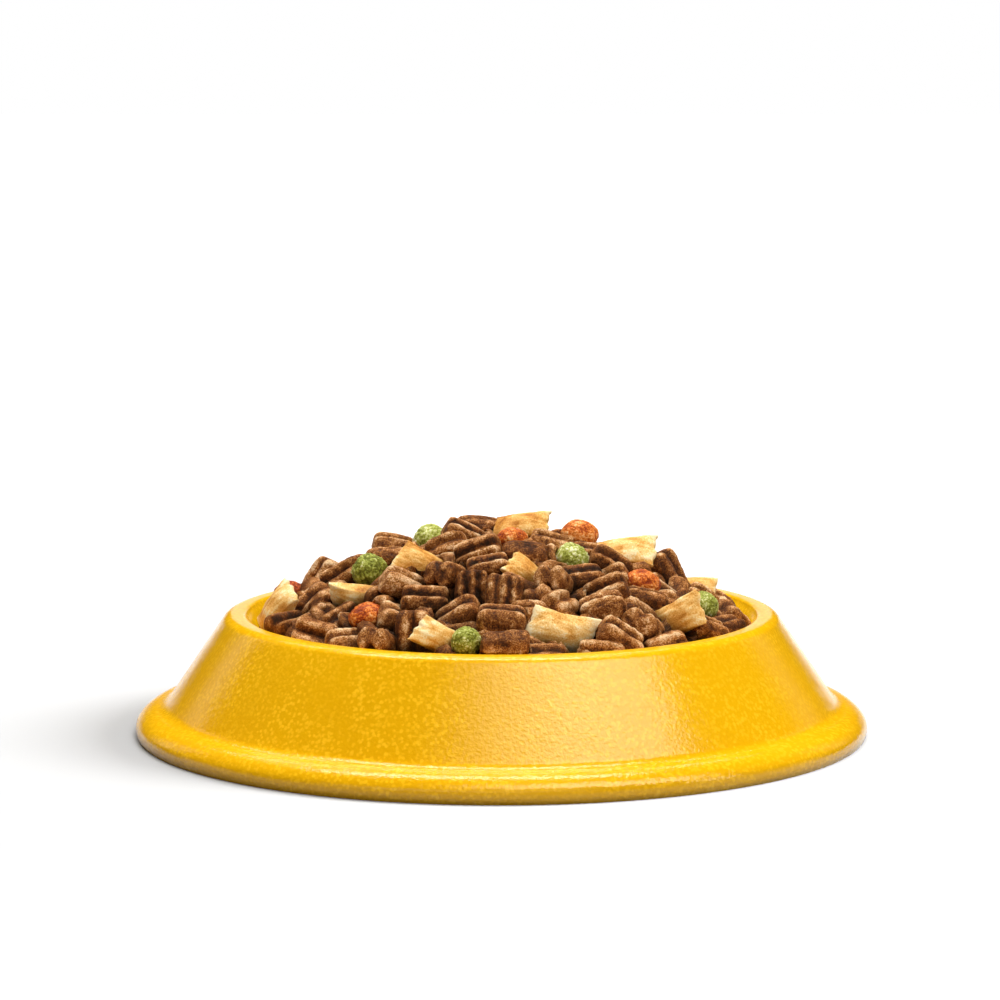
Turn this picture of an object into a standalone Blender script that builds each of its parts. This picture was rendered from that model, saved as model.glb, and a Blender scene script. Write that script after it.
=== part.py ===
"""A flared pet food bowl, heaped with mixed kibble.

The bowl is one turned plastic shell: a basin, a rounded rim, a wall that
flares out to the foot, and an open hollow under the skirt. The kibble in it
is brown extruded bars, green balls, orange nuggets and yellow pillows. Those
in sight lie loose, each one a solid of its own, and the rest of the filling
is one bed that they rest on.

Metres, +Z up. The origin is the middle of the foot, on the table. The front
of the heap faces -Y.
"""

import math
import random

import bmesh
import bpy
from mathutils import Euler, Matrix, Vector
from mathutils.bvhtree import BVHTree

MM = 0.001

# Bowl
FOOT_RADIUS = 110 * MM
BOWL_HEIGHT = 36 * MM
RIM_OUTER_RADIUS = 84.4 * MM
RIM_INNER_RADIUS = 76.5 * MM
RIM_SHOULDER_RADIUS = 4 * MM
RIM_INNER_ROUND = 1.4 * MM
WALL_SLOPE = math.radians(34.1)
NECK_RADIUS = 4.5 * MM
LIP_TOP_RADIUS = 8 * MM
LIP_RADIUS = 4.2 * MM
LIP_CENTRE_HEIGHT = 2.2 * MM
LIP_TURN = math.radians(35)
LIP_FLAT_WIDTH = 4 * MM
WALL_THICKNESS = 3 * MM
BASIN_FLOOR_RADIUS = 60 * MM
BASIN_FLOOR_HEIGHT = 9 * MM
BASIN_CORNER_RADIUS = 9 * MM
BOWL_STEPS = 56

# Kibble
BAR_LENGTH = 13 * MM
BAR_WIDTH = 9.8 * MM
BAR_THICKNESS = 8 * MM
BAR_GROOVE_DEPTH = 1.3 * MM
TRIPLE_LENGTH = 12.5 * MM
TRIPLE_WIDTH = 10.5 * MM
TRIPLE_THICKNESS = 7 * MM
BALL_DIAMETER = 10.8 * MM
NUGGET_LENGTH = 12.4 * MM
NUGGET_WIDTH = 10.4 * MM
NUGGET_THICKNESS = 9.4 * MM
PILLOW_LENGTH = 18 * MM
PILLOW_WIDTH = 12 * MM
PILLOW_THICKNESS = 8 * MM
PILLOW_CRIMP = 1.3 * MM
PILLOW_SLANT = 2.4 * MM

# Heap
HEAP_CROWN = 28 * MM
HEAP_FALL = 1.56
BED_DEPTH = 8.6 * MM
BED_EDGE_DROP = 5.5 * MM
BED_STEPS = 28
BED_DOME_POINTS = 7
BED_DOME_SHARE = 0.96
FUSED_SPACING = 12.4 * MM
FUSED_EDGE = 0.9
FUSED_SINK = 0.15 * BAR_THICKNESS
LOOSE_DEPTH = BAR_THICKNESS / 2
FUSED_DEPTH = BED_DEPTH + FUSED_SINK - BAR_THICKNESS / 2
LOOSE_ROOM = 0.16
GAP = 0.3 * MM

SEED = 11

NODE_NAMES = {
    "bar": "brown_bar",
    "triple": "brown_triple_bar",
    "ball": "green_ball",
    "nugget": "orange_nugget",
    "pillow": "yellow_pillow",
}
SIZES = {
    "bar": (BAR_LENGTH, BAR_WIDTH, BAR_THICKNESS),
    "triple": (TRIPLE_LENGTH, TRIPLE_WIDTH, TRIPLE_THICKNESS),
    "ball": (BALL_DIAMETER, BALL_DIAMETER, BALL_DIAMETER),
    "nugget": (NUGGET_LENGTH, NUGGET_WIDTH, NUGGET_THICKNESS),
    "pillow": (PILLOW_LENGTH, PILLOW_WIDTH, PILLOW_THICKNESS),
}
LOBES = {"bar": 2, "triple": 3}

# Chances of each kind among the kibble on the heap's back
SPIRAL_KINDS = ["bar"] * 9 + ["ball"] * 2 + ["nugget"] * 2 + ["pillow"]

# Looks: colour, roughness
PLASTIC = ((0.83, 0.43, 0.005), 0.22)
BROWN = ((0.20, 0.085, 0.035), 0.85)
GREEN = ((0.27, 0.27, 0.06), 0.9)
ORANGE = ((0.55, 0.11, 0.02), 0.8)
YELLOW = ((0.78, 0.42, 0.09), 0.7)

# The loose kibble that the front of the heap shows.
# Kind, place across and back in hundredths of the heap's radius, then the
# turn about the vertical, the rise of its right end and its roll in degrees,
# its size, and how far in mm it stands above the heap's smooth form.
LOOSE = [
    ("bar", -92, -20, 60, 70, 0, 0.95, 0),
    ("pillow", -84, -18, 0, 56, 38, 0.85, 0),
    ("bar", -82, -43, 50, 0, 20, 1.0, 0),
    ("bar", -70, -62, -25, -14, 60, 1.0, 0),
    ("nugget", -84, 18, 20, 0, 0, 0.9, 2),
    ("bar", -73, -31, 10, 42, 30, 1.0, 0),
    ("bar", -72, 18, 10, 60, 30, 0.95, 1),
    ("bar", -62, -7, 0, 30, 40, 1.0, 0),
    ("bar", -64, -55, 45, 15, 30, 0.95, 0),
    ("pillow", -54, -41, 0, -5, -64, 0.95, -2),
    ("ball", -51, -20, 0, 0, 0, 1.0, 1),
    ("nugget", -50, -65, 15, -5, 0, 1.0, 0),
    ("bar", -58, -74, 25, 0, 20, 0.95, 0),
    ("bar", -46, -78, 70, -25, 0, 0.95, 0),
    ("bar", -34, -78, 90, 78, 0, 1.05, 0),
    ("bar", -38, -43, 20, -25, 30, 1.0, 0),
    ("bar", -29, -61, 0, -4, 30, 1.05, 0),
    ("pillow", -31, -28, 15, -32, 62, 0.85, 0),
    ("ball", -32, 15, 0, 0, 0, 1.0, 1),
    ("pillow", -24, -82, 10, -30, 68, 0.76, 0),
    ("ball", -13, -86, 0, 0, 0, 0.8, 0),
    ("bar", -16, -73, -10, 30, 30, 1.05, 0),
    ("triple", -11, -57, 90, 66, 0, 1.0, 0),
    ("bar", -21, -44, 60, -20, 0, 1.05, 0),
    ("bar", 0, -75, 3, -4, 10, 1.1, 0),
    ("bar", 1, -90, 0, 0, -55, 1.05, 0),
    ("triple", 1, -60, 80, 62, 0, 1.0, 0),
    ("pillow", 10, -49, 20, -44, 55, 0.85, 0),
    ("bar", -5, -42, 0, 12, 20, 0.95, 0),
    ("bar", -9, -30, -5, 22, 40, 1.05, 0),
    ("bar", -21, -19, 0, 18, 40, 1.0, 0),
    ("bar", -15, -9, 10, -28, 20, 1.0, 0),
    ("bar", -43, 17, 5, -10, 10, 1.0, 2),
    ("bar", -44, -10, 30, 0, 0, 1.0, 0),
    ("bar", -9, 10, 0, 0, 10, 1.05, 0),
    ("pillow", 5, 10, -5, 7, 40, 0.92, 1.5),
    ("nugget", 4, -10, 0, 0, 0, 0.8, 0),
    ("nugget", 31, 15, 0, 0, 0, 0.95, 3),
    ("bar", 19, -19, 0, -15, 20, 1.0, 0),
    ("bar", 9, -33, 0, -2, -50, 1.05, 0),
    ("ball", 27, -27, 0, 0, 0, 0.95, 0),
    ("bar", 46, 17, 50, 0, 0, 0.95, 4),
    ("pillow", 48, 6, 0, 7, 35, 1.08, 2),
    ("bar", 42, -22, 10, -34, 40, 1.0, 0),
    ("bar", 65, 5, 0, -62, 30, 1.1, 1),
    ("nugget", 54, -30, 0, -5, 0, 0.95, 0),
    ("bar", 21, -46, 70, -25, 0, 0.95, 0),
    ("bar", 33, -44, 15, 5, 20, 1.05, 0),
    ("bar", 23, -63, 60, 0, 40, 0.95, 0),
    ("bar", 40, -47, -5, 26, 40, 1.0, 0),
    ("bar", 38, -59, 5, 12, 10, 1.05, 0),
    ("pillow", 22, -80, 0, -13, 66, 1.05, 0),
    ("bar", 44, -76, 15, -36, 30, 1.05, 0),
    ("bar", 55, -47, -5, -12, 0, 0.95, 0),
    ("bar", 53, -65, 70, -20, 20, 1.05, 0),
    ("pillow", 67, -50, -15, 30, 74, 0.88, 1),
    ("ball", 78, -22, 0, 0, 0, 0.85, 0),
    ("bar", 78, -48, 30, -22, 20, 0.95, 0),
]

# Kibble that shows less, fused with the bed. The columns are the same.
FUSED = [
    ("bar", -63, 22, 0, 22, 20, 1.0, 0),
    ("bar", -54, 18, 0, 0, 10, 1.0, 0),
    ("pillow", -51, 30, 0, 40, 60, 0.9, 0),
    ("bar", -5, 21, 0, 10, 20, 1.0, 0),
    ("bar", 22, 13, 60, 0, 10, 1.0, 0),
    ("bar", 35, -6, 20, -10, 20, 1.0, 0),
    ("bar", 11, -68, 0, 0, 20, 1.0, 0),
    ("bar", 62, -70, 30, 10, 50, 1.0, 0),
    ("bar", 37, -86, 0, -5, 50, 1.0, 0),
    ("bar", 16, -91, 0, 0, 30, 0.9, 0),
    ("bar", 68, -35, 0, -15, 10, 1.0, 0),
    ("pillow", 74, 9, 0, 0, 40, 0.9, 0),
    ("bar", 82, 20, 0, -28, 20, 1.0, 0),
    ("bar", 79, -5, 0, -38, 20, 1.0, 0),
    ("bar", 85, -33, 35, 5, 10, 1.0, 0),
    ("bar", 90, -11, 40, -38, 20, 1.0, 0),
]


def clear_scene():
    """Empty the file that the script starts in."""
    for thing in list(bpy.data.objects):
        bpy.data.objects.remove(thing, do_unlink=True)


def new_collection(name):
    """A collection in the scene."""
    collection = bpy.data.collections.new(name)
    bpy.context.scene.collection.children.link(collection)
    return collection


def new_material(name, looks):
    """A plain Principled material."""
    colour, roughness = looks
    material = bpy.data.materials.new(name)
    material.use_nodes = True
    shader = material.node_tree.nodes["Principled BSDF"]
    shader.inputs["Base Color"].default_value = (*colour, 1)
    shader.inputs["Roughness"].default_value = roughness
    return material


def arc(centre, radius, start, end, count):
    """Points of an arc in the XZ plane, with angles in degrees from +X."""
    points = []
    for index in range(count):
        angle = math.radians(start + (end - start) * index / (count - 1))
        points.append((centre[0] + radius * math.cos(angle),
                       centre[1] + radius * math.sin(angle)))
    return points


def turned(name, profile, steps, collection, material):
    """A closed profile in the XZ plane, turned about Z by a Screw modifier."""
    mesh = bpy.data.meshes.new(name)
    vertices = [(x, 0, z) for x, z in profile]
    edges = [(i, i + 1) for i in range(len(profile) - 1)]
    mesh.from_pydata(vertices, edges, [])
    piece = bpy.data.objects.new(name, mesh)
    collection.objects.link(piece)
    screw = piece.modifiers.new("turn", "SCREW")
    screw.steps = steps
    screw.render_steps = steps
    screw.use_merge_vertices = True
    screw.merge_threshold = 0.00001
    screw.use_smooth_shade = True
    mesh.materials.append(material)
    return piece


def basin_radius(height):
    """Radius of the basin's straight wall at a height above the table."""
    share = (height - BASIN_FLOOR_HEIGHT) / (BOWL_HEIGHT - BASIN_FLOOR_HEIGHT)
    return BASIN_FLOOR_RADIUS + (RIM_INNER_RADIUS - BASIN_FLOOR_RADIUS) * share


def basin_profile(offset, top):
    """The basin's inner face from its wall at the top to its middle.

    The offset moves the face in towards the food.
    """
    rise = BOWL_HEIGHT - BASIN_FLOOR_HEIGHT
    spread = RIM_INNER_RADIUS - BASIN_FLOOR_RADIUS
    lean = math.atan2(rise, spread)
    corner = BASIN_CORNER_RADIUS - offset
    inset = BASIN_CORNER_RADIUS * math.tan(lean / 2)
    centre = (BASIN_FLOOR_RADIUS - inset, BASIN_FLOOR_HEIGHT + BASIN_CORNER_RADIUS)
    wall = (basin_radius(top) - offset / math.sin(lean), top)
    middle = (0, BASIN_FLOOR_HEIGHT + offset)
    return [wall] + arc(centre, corner, math.degrees(lean) - 90, -90, 3) + [middle]


def wall_top():
    """Where the straight outer wall meets the rim's round shoulder."""
    return (RIM_OUTER_RADIUS - RIM_SHOULDER_RADIUS * (1 - math.cos(WALL_SLOPE)),
            BOWL_HEIGHT - RIM_SHOULDER_RADIUS * (1 - math.sin(WALL_SLOPE)))


def neck_centre(crest):
    """Centre of the hollow arc that meets the straight wall and the lip's top arc."""
    top = wall_top()
    normal = (math.cos(WALL_SLOPE), math.sin(WALL_SLOPE))
    down = (math.sin(WALL_SLOPE), -math.cos(WALL_SLOPE))
    start = (top[0] + normal[0] * NECK_RADIUS, top[1] + normal[1] * NECK_RADIUS)
    offset = (start[0] - crest[0], start[1] - crest[1])
    reach = NECK_RADIUS + LIP_TOP_RADIUS
    half = offset[0] * down[0] + offset[1] * down[1]
    rest = offset[0] ** 2 + offset[1] ** 2 - reach ** 2
    travel = -half - math.sqrt(max(half ** 2 - rest, 0))
    return (start[0] + down[0] * travel, start[1] + down[1] * travel)


def bowl_profile():
    """The shell's section: basin, rim, flared wall, foot and underside."""
    slope = math.degrees(WALL_SLOPE)
    turn = math.degrees(LIP_TURN)
    lip = (FOOT_RADIUS - LIP_RADIUS, LIP_CENTRE_HEIGHT)
    crest = (lip[0] - (LIP_TOP_RADIUS - LIP_RADIUS) * math.cos(LIP_TURN),
             lip[1] - (LIP_TOP_RADIUS - LIP_RADIUS) * math.sin(LIP_TURN))
    neck = neck_centre(crest)
    meet = math.degrees(math.atan2(neck[1] - crest[1], neck[0] - crest[0]))
    base_angle = -math.degrees(math.asin(LIP_CENTRE_HEIGHT / LIP_RADIUS))
    shoulder = (RIM_OUTER_RADIUS - RIM_SHOULDER_RADIUS, BOWL_HEIGHT - RIM_SHOULDER_RADIUS)
    rim = (RIM_INNER_RADIUS + RIM_INNER_ROUND, BOWL_HEIGHT - RIM_INNER_ROUND)

    inside = basin_profile(0, BOWL_HEIGHT - 2 * RIM_INNER_ROUND)
    outside = arc(rim, RIM_INNER_ROUND, 160, 90, 3)
    outside += arc(shoulder, RIM_SHOULDER_RADIUS, 90, slope, 4)
    outside += arc(neck, NECK_RADIUS, slope + 180, meet + 180, 4)
    outside += arc(crest, LIP_TOP_RADIUS, meet, turn, 4)[1:]
    outside += arc(lip, LIP_RADIUS, turn, base_angle, 5)[1:]

    hollow_top = BOWL_HEIGHT - 2 * WALL_THICKNESS
    skirt_top = hollow_top - WALL_THICKNESS
    top = wall_top()
    wall_radius = top[0] + (top[1] - skirt_top) * math.tan(WALL_SLOPE)
    skirt_radius = wall_radius - WALL_THICKNESS / math.cos(WALL_SLOPE)
    foot_inside = outside[-1][0] - LIP_FLAT_WIDTH
    under_crest = LIP_TOP_RADIUS - WALL_THICKNESS
    rise = math.degrees(math.acos((foot_inside - crest[0]) / under_crest))
    skirt = [(foot_inside, 0)]
    skirt += arc(crest, under_crest, rise, meet, 3)
    skirt += arc(neck, NECK_RADIUS + WALL_THICKNESS, meet + 180, slope + 180, 4)[1:]
    skirt.append((skirt_radius, skirt_top))
    basin = basin_profile(-WALL_THICKNESS, skirt_top)
    crown = ((skirt_radius + basin[0][0]) / 2, hollow_top)
    return inside[::-1] + outside + skirt + [crown] + basin


def heap_height(radius):
    """Height of the heap's smooth form above the table."""
    share = min(radius / RIM_INNER_RADIUS, 1)
    return BOWL_HEIGHT + HEAP_CROWN * (1 - share ** HEAP_FALL)


def bed_profile():
    """The core of the filling: a dome that reaches down to the basin floor."""
    edge_height = BOWL_HEIGHT - BED_EDGE_DROP
    sides = basin_profile(GAP, edge_height)
    edge = sides[0][0]
    dome = []
    for index in range(BED_DOME_POINTS):
        radius = edge * BED_DOME_SHARE * index / (BED_DOME_POINTS - 1)
        dome.append((radius, heap_height(radius) - BED_DEPTH))
    return dome + sides


def space_profile():
    """The room inside the basin and above it, a gap clear of the wall."""
    top = BOWL_HEIGHT + HEAP_CROWN + PILLOW_LENGTH
    rim = RIM_INNER_RADIUS - GAP
    basin = basin_profile(GAP, BOWL_HEIGHT - 2 * RIM_INNER_ROUND)
    return [(0, top), (rim, top), (rim, BOWL_HEIGHT)] + basin


def cuboid(cuts):
    """A cube from -1 to 1 whose edges along each axis are cut evenly."""
    grid = bmesh.new()
    bmesh.ops.create_cube(grid, size=2)
    for axis, count in enumerate(cuts):
        along = []
        for edge in grid.edges:
            step = edge.verts[0].co - edge.verts[1].co
            if abs(step[axis]) > 1:
                along.append(edge)
        bmesh.ops.subdivide_edges(grid, edges=along, cuts=count, use_grid_fill=True)
    return grid


def rounded(point, power):
    """Moves a point of the cube's surface onto a box with round edges."""
    total = sum(abs(value) ** power for value in point)
    return point / total ** (1 / power)


def bar_form(point, size, lobes):
    """A cut length of dough with parallel lobes along its broad faces."""
    place = rounded(point, 3.4)
    wave = abs(math.sin(math.pi * lobes * (place.y + 1) / 2))
    cut = BAR_GROOVE_DEPTH * (1 - wave) * (1 - abs(place.y) ** 6)
    height = place.z * size.z / 2
    height -= math.copysign(min(cut, abs(height) * 0.6), height)
    return Vector((place.x * size.x / 2, place.y * size.y / 2, height))


def pillow_form(point, size):
    """A stuffed tube that is pressed flat at both ends."""
    length = point.x
    swell = 1 - abs(length) ** 2.2
    width = point.y * (0.84 + 0.16 * length ** 2)
    body = (size.z - PILLOW_CRIMP) / 2 * swell * (1 - 0.62 * point.y ** 2)
    height = point.z * (body + PILLOW_CRIMP / 2)
    along = length * size.x / 2 + point.y * PILLOW_SLANT / 2
    return Vector((along, width * size.y / 2, height))


def round_form(point, size):
    """A lumpy ball or nugget."""
    lumps = 1 + 0.03 * math.sin(5.1 * point.x + 2.3) * math.sin(4.7 * point.y + 0.9)
    return Vector((point.x * size.x, point.y * size.y, point.z * size.z)) * lumps / 2


def kibble_form(kind, point):
    """Where a point of the kind's plain grid lies on its surface."""
    size = Vector(SIZES[kind])
    if kind in LOBES:
        return bar_form(point, size, LOBES[kind])
    if kind == "pillow":
        return pillow_form(point, size)
    return round_form(point, size)


def kibble_mesh(kind, coarse):
    """One kibble about its own middle, with its length along X."""
    if kind in LOBES:
        grid = cuboid((1, 1 if coarse else 2 * LOBES[kind] - 1, 1))
    elif kind == "pillow":
        grid = cuboid((3, 1, 1))
    else:
        grid = bmesh.new()
        bmesh.ops.create_icosphere(grid, subdivisions=1 if coarse else 2, radius=1)
    for vertex in grid.verts:
        vertex.co = kibble_form(kind, vertex.co.copy())
    bmesh.ops.triangulate(grid, faces=grid.faces)
    mesh = bpy.data.meshes.new(kind)
    grid.to_mesh(mesh)
    grid.free()
    mesh.shade_smooth()
    return mesh


def pose(row, depth):
    """Where a row puts its kibble, with its middle at a depth in the heap."""
    across, back, turn, rise, roll, size, lift = row[1:]
    x = across / 100 * RIM_INNER_RADIUS
    y = back / 100 * RIM_INNER_RADIUS
    angles = Euler((math.radians(roll), math.radians(-rise), 0), "XYZ").to_matrix()
    spin = Matrix.Rotation(math.radians(turn), 3, "Z")
    z = heap_height(math.hypot(x, y)) - depth + lift * MM
    return Matrix.Translation((x, y, z)) @ (spin @ angles * size).to_4x4()


def solid_in_world(mesh, matrix):
    """A mesh's corners and faces, placed."""
    corners = [matrix @ vertex.co for vertex in mesh.vertices]
    faces = [tuple(face.vertices) for face in mesh.polygons]
    return corners, faces


def swollen(mesh, matrix, gap):
    """A placed mesh whose faces stand out by the gap."""
    turn = matrix.to_3x3().normalized()
    corners = []
    for vertex in mesh.vertices:
        corners.append(matrix @ vertex.co + (turn @ vertex.normal).normalized() * gap)
    faces = [tuple(face.vertices) for face in mesh.polygons]
    return corners, faces


def tree_of(solids):
    """One search tree over several placed solids."""
    corners = []
    faces = []
    for solid_corners, solid_faces in solids:
        base = len(corners)
        corners += solid_corners
        faces += [tuple(base + i for i in face) for face in solid_faces]
    return BVHTree.FromPolygons(corners, faces)


def touches(shape, offset, tree):
    """Whether a swollen kibble, moved by an offset, meets what is there."""
    corners, faces = shape
    moved = [corner + offset for corner in corners]
    return bool(BVHTree.FromPolygons(moved, faces).overlap(tree))


def nearby(solids, middle):
    """A search tree over the solids within reach of a place."""
    reach = 2 * PILLOW_LENGTH
    near = []
    for corners, faces in solids:
        if any((corner - middle).length < reach for corner in corners):
            near.append((corners, faces))
    return tree_of(near)


def shifts():
    """Small moves to try, the least visible from the front first."""
    moves = []
    for across in (-3, -2, -1, 0, 1, 2, 3):
        for back in (-4.5, -3, -1.5, 0, 1.5, 3, 4.5, 6, 7.5):
            for up in (-3, -2, -1, 0, 1, 2, 3, 4, 6, 8):
                cost = 0.8 * abs(across) + 0.22 * abs(back) + abs(up)
                moves.append((cost, across * MM, back * MM, up * MM))
    return [Vector(move[1:]) for move in sorted(moves)]


def free_move(shape, others):
    """The least move that takes a kibble clear of the others."""
    for move in shifts():
        if not touches(shape, move, others):
            return move
    move = Vector((0, 0, 0))
    while touches(shape, move, others):
        move.z += MM
    return move


def settle(mesh, matrix, solids, bed_solids):
    """Finds a kibble a free place among the others and lets it down to rest."""
    middle = matrix.translation
    others = nearby(solids, middle)
    bed = nearby(bed_solids, middle)
    shape = swollen(mesh, matrix, GAP)
    move = free_move(shape, others)
    step = Vector((0, 0, -GAP))
    while middle.z + move.z > BASIN_FLOOR_HEIGHT:
        if touches(shape, move + step, bed) or touches(shape, move + step, others):
            break
        move = move + step
    return Matrix.Translation(move) @ matrix


def fused_rows():
    """The fused kibble: the listed pieces, then a spiral over the rest of the heap."""
    chance = random.Random(SEED)
    rows = list(FUSED)
    taken = [(row[1] / 100, row[2] / 100) for row in LOOSE + FUSED]
    golden = math.pi * (3 - math.sqrt(5))
    count = round((RIM_INNER_RADIUS / FUSED_SPACING) ** 2 * math.pi)
    for index in range(count):
        share = FUSED_EDGE * math.sqrt((index + 0.5) / count)
        angle = golden * index
        across = share * math.cos(angle)
        back = share * math.sin(angle)
        kind = chance.choice(SPIRAL_KINDS)
        turn = chance.uniform(0, 180)
        rise = chance.gauss(0, 22)
        roll = chance.uniform(-40, 40)
        lift = chance.uniform(-0.8, 0.2)
        nearest = min(math.hypot(across - x, back - y) for x, y in taken)
        if nearest > LOOSE_ROOM:
            rows.append((kind, across * 100, back * 100, turn, rise, roll, 1, lift))
    return rows


def shells(grid):
    """The closed shells of a mesh, each as a list of its faces."""
    grid.faces.ensure_lookup_table()
    left = set(grid.faces)
    found = []
    while left:
        shell = [left.pop()]
        for face in shell:
            for edge in face.edges:
                for other in edge.link_faces:
                    if other in left:
                        left.remove(other)
                        shell.append(other)
        found.append(shell)
    return found


def fill_pockets(mesh):
    """Fills the pockets that touching kibble shuts in, so the bed is solid."""
    grid = bmesh.new()
    grid.from_mesh(mesh)
    bmesh.ops.triangulate(grid, faces=grid.faces)
    for shell in shells(grid):
        volume = 0
        for face in shell:
            first, second, third = (vertex.co for vertex in face.verts)
            volume += first.dot(second.cross(third))
        if volume < 0:
            bmesh.ops.delete(grid, geom=shell, context="FACES")
    grid.to_mesh(mesh)
    grid.free()


def hide(piece):
    """Marks a cutter or guide, which isn't part of the object."""
    piece.hide_render = True
    piece.display_type = "WIRE"


def add_boolean(piece, name, operation, other):
    """Joins or cuts a piece with an object or a collection."""
    modifier = piece.modifiers.new(name, "BOOLEAN")
    modifier.operation = operation
    modifier.solver = "EXACT"
    if isinstance(other, bpy.types.Collection):
        modifier.operand_type = "COLLECTION"
        modifier.collection = other
    else:
        modifier.object = other


def add_loose(collection, sockets, materials, solids, bed_solids):
    """Sets the loose kibble down, from the lowest to the highest."""
    order = sorted(LOOSE, key=lambda row: pose(row, LOOSE_DEPTH).translation.z)
    counts = {}
    for row in order:
        kind = row[0]
        counts[kind] = counts.get(kind, 0) + 1
        name = f"{NODE_NAMES[kind]}_{counts[kind]:02d}"
        mesh = kibble_mesh(kind, False)
        mesh.materials.append(materials[kind])
        matrix = settle(mesh, pose(row, LOOSE_DEPTH), solids, bed_solids)
        piece = bpy.data.objects.new(name, mesh)
        piece.matrix_world = matrix
        collection.objects.link(piece)
        solids.append(solid_in_world(mesh, matrix))

        corners, faces = swollen(mesh, matrix, GAP)
        room = bpy.data.meshes.new(name)
        room.from_pydata(corners, [], faces)
        socket = bpy.data.objects.new(f"socket_{name}", room)
        hide(socket)
        sockets.objects.link(socket)


def main():
    """Makes the whole filled bowl."""
    clear_scene()
    collection = new_collection("pet_food_bowl")
    fused = new_collection("fused_kibble")
    sockets = new_collection("sockets")
    guides = new_collection("guides")
    materials = {
        "bar": new_material("brown_kibble", BROWN),
        "triple": new_material("brown_kibble_three_lobed", BROWN),
        "ball": new_material("green_kibble", GREEN),
        "nugget": new_material("orange_kibble", ORANGE),
        "pillow": new_material("yellow_kibble", YELLOW),
    }
    plastic = new_material("yellow_plastic", PLASTIC)
    bowl = turned("bowl", bowl_profile(), BOWL_STEPS, collection, plastic)
    bed = turned("kibble_bed", bed_profile(), BED_STEPS, collection, materials["bar"])
    space = turned("basin_space", space_profile(), BOWL_STEPS, guides, materials["bar"])
    hide(space)

    depsgraph = bpy.context.evaluated_depsgraph_get()
    upright = Matrix.Identity(4)
    solids = [solid_in_world(bowl.evaluated_get(depsgraph).to_mesh(), upright)]
    bed_solids = [solid_in_world(bed.evaluated_get(depsgraph).to_mesh(), upright)]
    for index, row in enumerate(fused_rows()):
        piece = bpy.data.objects.new(f"fused_{index + 1:02d}", kibble_mesh(row[0], True))
        piece.matrix_world = pose(row, FUSED_DEPTH)
        hide(piece)
        fused.objects.link(piece)
        bed_solids.append(solid_in_world(piece.data, piece.matrix_world))
    add_loose(collection, sockets, materials, solids, bed_solids)

    add_boolean(bed, "fused kibble", "UNION", fused)
    add_boolean(bed, "inside the basin", "INTERSECT", space)
    add_boolean(bed, "sockets", "DIFFERENCE", sockets)
    depsgraph = bpy.context.evaluated_depsgraph_get()
    joined = bpy.data.meshes.new_from_object(bed.evaluated_get(depsgraph))
    fill_pockets(joined)
    bed.modifiers.clear()
    bed.data = joined


main()
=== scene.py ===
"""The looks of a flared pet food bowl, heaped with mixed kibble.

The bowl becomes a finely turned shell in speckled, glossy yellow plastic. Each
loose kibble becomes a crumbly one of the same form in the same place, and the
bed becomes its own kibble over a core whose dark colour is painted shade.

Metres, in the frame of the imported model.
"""

import math
import random

import bmesh
import bpy
from mathutils import Euler, Matrix, Vector, noise
from mathutils.bvhtree import BVHTree


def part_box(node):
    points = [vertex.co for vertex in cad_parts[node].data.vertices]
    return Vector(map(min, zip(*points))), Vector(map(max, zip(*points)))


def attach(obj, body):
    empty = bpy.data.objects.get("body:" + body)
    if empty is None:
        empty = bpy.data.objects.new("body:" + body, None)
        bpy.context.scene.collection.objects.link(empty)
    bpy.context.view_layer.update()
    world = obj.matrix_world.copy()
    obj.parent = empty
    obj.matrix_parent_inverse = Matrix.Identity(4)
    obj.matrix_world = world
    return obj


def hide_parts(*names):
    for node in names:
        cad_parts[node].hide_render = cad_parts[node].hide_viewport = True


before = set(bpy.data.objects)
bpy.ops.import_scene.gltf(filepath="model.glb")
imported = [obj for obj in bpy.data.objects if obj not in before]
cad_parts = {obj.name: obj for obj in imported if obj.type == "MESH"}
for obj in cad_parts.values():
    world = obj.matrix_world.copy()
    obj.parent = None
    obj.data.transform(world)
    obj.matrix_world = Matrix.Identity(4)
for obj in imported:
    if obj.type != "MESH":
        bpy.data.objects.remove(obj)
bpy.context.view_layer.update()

MM = 0.001

# Bowl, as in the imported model
FOOT_RADIUS = 110 * MM
BOWL_HEIGHT = 36 * MM
RIM_OUTER_RADIUS = 84.4 * MM
RIM_INNER_RADIUS = 76.5 * MM
RIM_SHOULDER_RADIUS = 4 * MM
RIM_INNER_ROUND = 1.4 * MM
RIM_ROUND_START = 160
WALL_SLOPE = math.radians(34.1)
NECK_RADIUS = 4.5 * MM
LIP_TOP_RADIUS = 8 * MM
LIP_RADIUS = 4.2 * MM
LIP_CENTRE_HEIGHT = 2.2 * MM
LIP_TURN = math.radians(35)
LIP_FLAT_WIDTH = 4 * MM
WALL_THICKNESS = 3 * MM
BASIN_FLOOR_RADIUS = 60 * MM
BASIN_FLOOR_HEIGHT = 9 * MM
BASIN_CORNER_RADIUS = 9 * MM

# Mesh of the turned pieces. The section's arcs have these counts of points.
BOWL_STEPS = 288
BOWL_RUN = 2.5 * MM
MERGE_DISTANCE = 0.01 * MM
SHARP_ANGLE = math.radians(38)
ARC_POINTS = {
    "basin_corner": 8,
    "rim": 8,
    "shoulder": 16,
    "neck": 14,
    "crest": 14,
    "lip": 16,
    "under_crest": 5,
    "under_neck": 8,
}

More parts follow.
